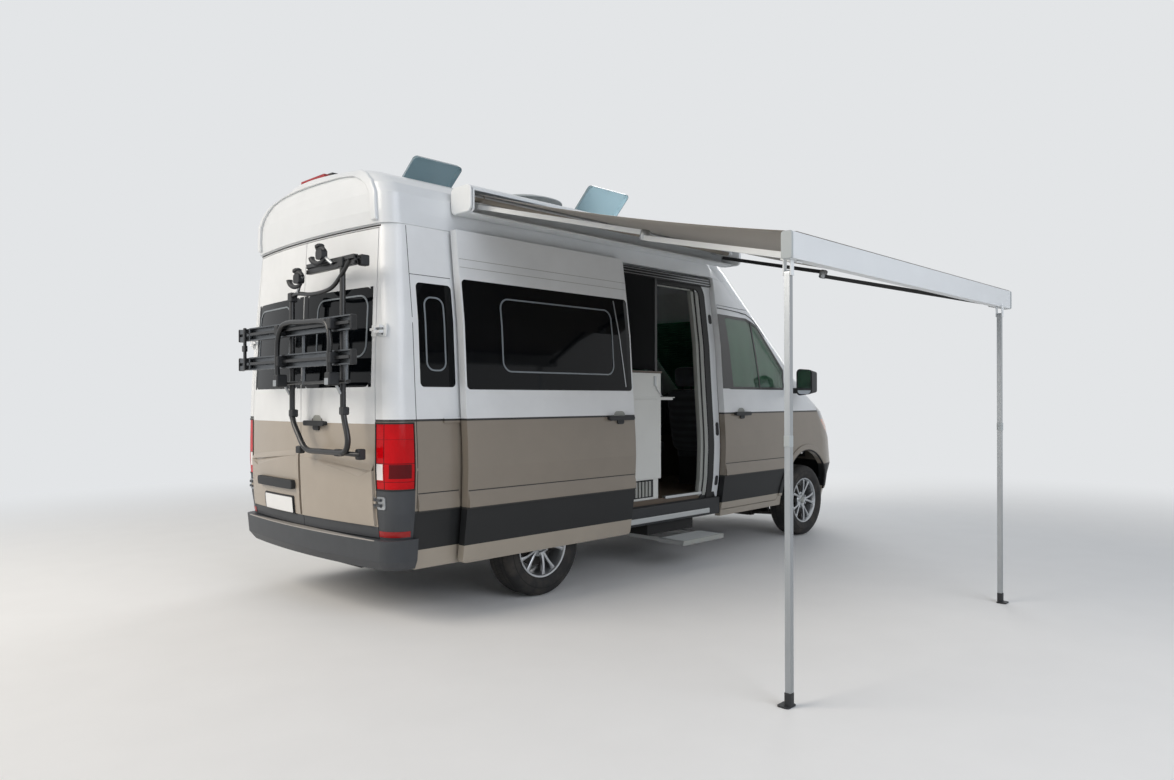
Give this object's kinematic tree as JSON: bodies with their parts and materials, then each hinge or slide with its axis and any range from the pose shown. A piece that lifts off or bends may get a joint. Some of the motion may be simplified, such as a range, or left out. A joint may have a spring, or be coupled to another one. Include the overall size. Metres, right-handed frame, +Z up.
{
  "type": "camper van",
  "caption": "Panel-van camper with raised roof, open sliding door, drawn-out side awning on legs, rear-door cycle carrier, roof lights and entry step; doors, steering, wheels and arms move.",
  "frame": {"origin": "middle of the whole footprint, with awning, legs and carrier, on the ground", "axes": "+X forward along the van, +Y to its left, +Z up"},
  "size_m": [6.1668, 4.596, 3.2987],
  "materials": {
    "body_paint": "gloss",
    "roof_plastic": "gloss",
    "bumper_plastic": "satin",
    "lamp_clear": "clear",
    "lamp_red": "gloss",
    "window_glass": "dark tint",
    "floor_board": "satin",
    "chassis_steel": "matt black",
    "seat_cloth": "woven",
    "furniture_white": "satin",
    "furniture_wood": "dark satin",
    "mattress": "woven",
    "lid_acrylic": "tinted",
    "dish_grey": "satin",
    "awning_white": "powder coated",
    "awning_dark": "powder coated",
    "awning_cloth": "coated cloth",
    "leg_aluminium": "satin",
    "carrier_black": "satin",
    "tyre_rubber": "matt",
    "wheel_alloy": "satin"
  },
  "bodies": {
    "van": {"awning_case": "awning_white", "awning_fabric": "awning_cloth", "axles": "chassis_steel", "body_side_left": "body_paint", "body_side_right": "body_paint", "cab_frame": "body_paint", "cab_seats": "seat_cloth", "cupboards": "furniture_wood", "dashboard": "bumper_plastic", "engine_block": "chassis_steel", "floor_pan": "floor_board", "front_bumper": "bumper_plastic", "front_wings": "body_paint", "grille": "bumper_plastic", "headlamps": "lamp_clear", "high_roof": "roof_plastic", "kitchen_unit": "furniture_white", "rear_bed": "mattress", "rear_bumper": "bumper_plastic", "side_windows": "window_glass", "sliding_door": "body_paint", "sliding_door_glass": "window_glass", "tail_lamps": "lamp_red", "underfloor": "chassis_steel", "windscreen": "window_glass"},
    "door_front_left": {"front_door_left": "body_paint", "door_glass_left": "window_glass", "mirror_left": "bumper_plastic"},
    "door_front_right": {"front_door_right": "body_paint", "door_glass_right": "window_glass", "mirror_right": "bumper_plastic"},
    "door_rear_right": {"rear_door_right": "body_paint", "rear_glass_right": "window_glass", "carrier_frame": "carrier_black"},
    "door_rear_left": {"rear_door_left": "body_paint", "rear_glass_left": "window_glass"},
    "carrier_fold": {"carrier_platform": "leg_aluminium"},
    "bonnet_lid": {"bonnet": "body_paint"},
    "upright_left": {"knuckle_left": "chassis_steel"},
    "upright_right": {"knuckle_right": "chassis_steel"},
    "light_lid_rear": {"roof_lid_rear": "lid_acrylic"},
    "light_lid_front": {"roof_lid_front": "lid_acrylic"},
    "dish_base": {"dish_turntable": "dish_grey"},
    "dish": {"satellite_dish": "dish_grey"},
    "step": {"entry_step": "leg_aluminium"},
    "arm_upper_rear": {"upper_arm_rear": "awning_white"},
    "arm_fore_rear": {"forearm_rear": "awning_white"},
    "arm_upper_front": {"upper_arm_front": "awning_dark"},
    "arm_fore_front": {"forearm_front": "awning_dark"},
    "lead_rail": {"awning_rail": "awning_white"},
    "leg_rear": {"awning_leg_rear": "leg_aluminium"},
    "leg_front": {"awning_leg_front": "leg_aluminium"},
    "wheel_front_left": {"tyre_front_left": "tyre_rubber", "rim_front_left": "wheel_alloy"},
    "wheel_front_right": {"tyre_front_right": "tyre_rubber", "rim_front_right": "wheel_alloy"},
    "wheel_rear_left": {"tyre_rear_left": "tyre_rubber", "rim_rear_left": "wheel_alloy"},
    "wheel_rear_right": {"tyre_rear_right": "tyre_rubber", "rim_rear_right": "wheel_alloy"}
  },
  "joints": [
    {"name": "front_door_right", "type": "hinge", "parent": "van", "child": "door_front_right", "pos_m": [1.8205, 0.1045, 1.08], "axis": [0, 0, 1], "range_deg": [0, 70]},
    {"name": "front_door_left", "type": "hinge", "parent": "van", "child": "door_front_left", "pos_m": [1.8205, 2.0605, 1.08], "axis": [0, 0, -1], "range_deg": [0, 70]},
    {"name": "rear_door_right", "type": "hinge", "parent": "van", "child": "door_rear_right", "pos_m": [-2.8345, 0.2345, 1.5], "axis": [0, 0, 1], "range_deg": [0, 90]},
    {"name": "rear_door_left", "type": "hinge", "parent": "van", "child": "door_rear_left", "pos_m": [-2.8345, 1.9305, 1.5], "axis": [0, 0, -1], "range_deg": [0, 90]},
    {"name": "carrier_fold", "type": "hinge", "parent": "door_rear_right", "child": "carrier_fold", "pos_m": [-3.0375, 0.4725, 1.5], "axis": [0, -1, 0], "range_deg": [0, 90]},
    {"name": "bonnet", "type": "hinge", "parent": "van", "child": "bonnet_lid", "pos_m": [2.4195, 1.0825, 1.489], "axis": [0, -1, 0], "range_deg": [0, 55]},
    {"name": "steer_left", "type": "hinge", "parent": "van", "child": "upright_left", "pos_m": [2.0925, 1.7825, 0.356], "axis": [0, 0, 1], "range_deg": [-35, 35]},
    {"name": "steer_right", "type": "hinge", "parent": "van", "child": "upright_right", "pos_m": [2.0925, 0.3825, 0.356], "axis": [0, 0, 1], "range_deg": [-35, 35]},
    {"name": "spin_front_left", "type": "hinge", "parent": "upright_left", "child": "wheel_front_left", "pos_m": [2.0925, 1.939, 0.356], "axis": [0, 1, 0], "continuous": true},
    {"name": "spin_front_right", "type": "hinge", "parent": "upright_right", "child": "wheel_front_right", "pos_m": [2.0925, 0.226, 0.356], "axis": [0, 1, 0], "continuous": true},
    {"name": "spin_rear_left", "type": "hinge", "parent": "van", "child": "wheel_rear_left", "pos_m": [-1.5475, 1.939, 0.356], "axis": [0, 1, 0], "continuous": true},
    {"name": "spin_rear_right", "type": "hinge", "parent": "van", "child": "wheel_rear_right", "pos_m": [-1.5475, 0.226, 0.356], "axis": [0, 1, 0], "continuous": true},
    {"name": "roof_lid_rear", "type": "hinge", "parent": "van", "child": "light_lid_rear", "pos_m": [-1.8175, 1.3045, 2.927], "axis": [1, 0, 0], "range_deg": [0, 38]},
    {"name": "roof_lid_front", "type": "hinge", "parent": "van", "child": "light_lid_front", "pos_m": [0.0025, 1.2445, 2.927], "axis": [1, 0, 0], "range_deg": [0, 45]},
    {"name": "dish_turn", "type": "hinge", "parent": "van", "child": "dish_base", "pos_m": [-0.8775, 1.0825, 2.915], "axis": [0, 0, 1], "range_deg": [-170, 170]},
    {"name": "dish_tilt", "type": "hinge", "parent": "dish_base", "child": "dish", "pos_m": [-1.0675, 1.0825, 3], "axis": [0, -1, 0], "range_deg": [0, 60]},
    {"name": "step_slide", "type": "slide", "parent": "van", "child": "step", "axis": [0, 1, 0], "range_m": [0, 0.28]},
    {"name": "awning_fold", "type": "hinge", "parent": "van", "child": "arm_upper_rear", "pos_m": [-2.1775, 0.0375, 2.62], "axis": [0, -0.242, 0.9703], "range_deg": [0, 70.8]},
    {"name": "elbow_rear", "type": "hinge", "parent": "arm_upper_rear", "child": "arm_fore_rear", "pos_m": [-1.8628, -1.08608, 2.33978], "axis": [0, 0.242, -0.9703], "range_deg": [0, 141.6]},
    {"name": "wrist_rear", "type": "hinge", "parent": "arm_fore_rear", "child": "lead_rail", "pos_m": [-2.1775, -2.20967, 2.05956], "axis": [0, -0.242, 0.9703], "range_deg": [0, 70.8]},
    {"name": "awning_fold_front", "type": "hinge", "parent": "van", "child": "arm_upper_front", "pos_m": [0.5525, 0.0375, 2.62], "axis": [0, 0.242, -0.9703], "range_deg": [0, 70.8]},
    {"name": "elbow_front", "type": "hinge", "parent": "arm_upper_front", "child": "arm_fore_front", "pos_m": [0.2378, -1.08608, 2.33978], "axis": [0, -0.242, 0.9703], "range_deg": [0, 141.6]},
    {"name": "leg_fold_rear", "type": "hinge", "parent": "lead_rail", "child": "leg_rear", "pos_m": [-2.2375, -2.2445, 1.955], "axis": [0, -1, 0], "range_deg": [0, 90]},
    {"name": "leg_fold_front", "type": "hinge", "parent": "lead_rail", "child": "leg_front", "pos_m": [0.4525, -2.2805, 1.955], "axis": [0, 1, 0], "range_deg": [0, 90]}
  ],
  "couplings": [
    {"joint": "steer_right", "follows": "steer_left", "ratio": 1},
    {"joint": "rear_door_left", "follows": "rear_door_right", "ratio": 1},
    {"joint": "elbow_rear", "follows": "awning_fold", "ratio": 2},
    {"joint": "wrist_rear", "follows": "awning_fold", "ratio": 1},
    {"joint": "awning_fold_front", "follows": "awning_fold", "ratio": 1},
    {"joint": "elbow_front", "follows": "awning_fold", "ratio": 2},
    {"joint": "leg_fold_rear", "follows": "awning_fold", "ratio": 1.2712},
    {"joint": "leg_fold_front", "follows": "awning_fold", "ratio": 1.2712}
  ]
}
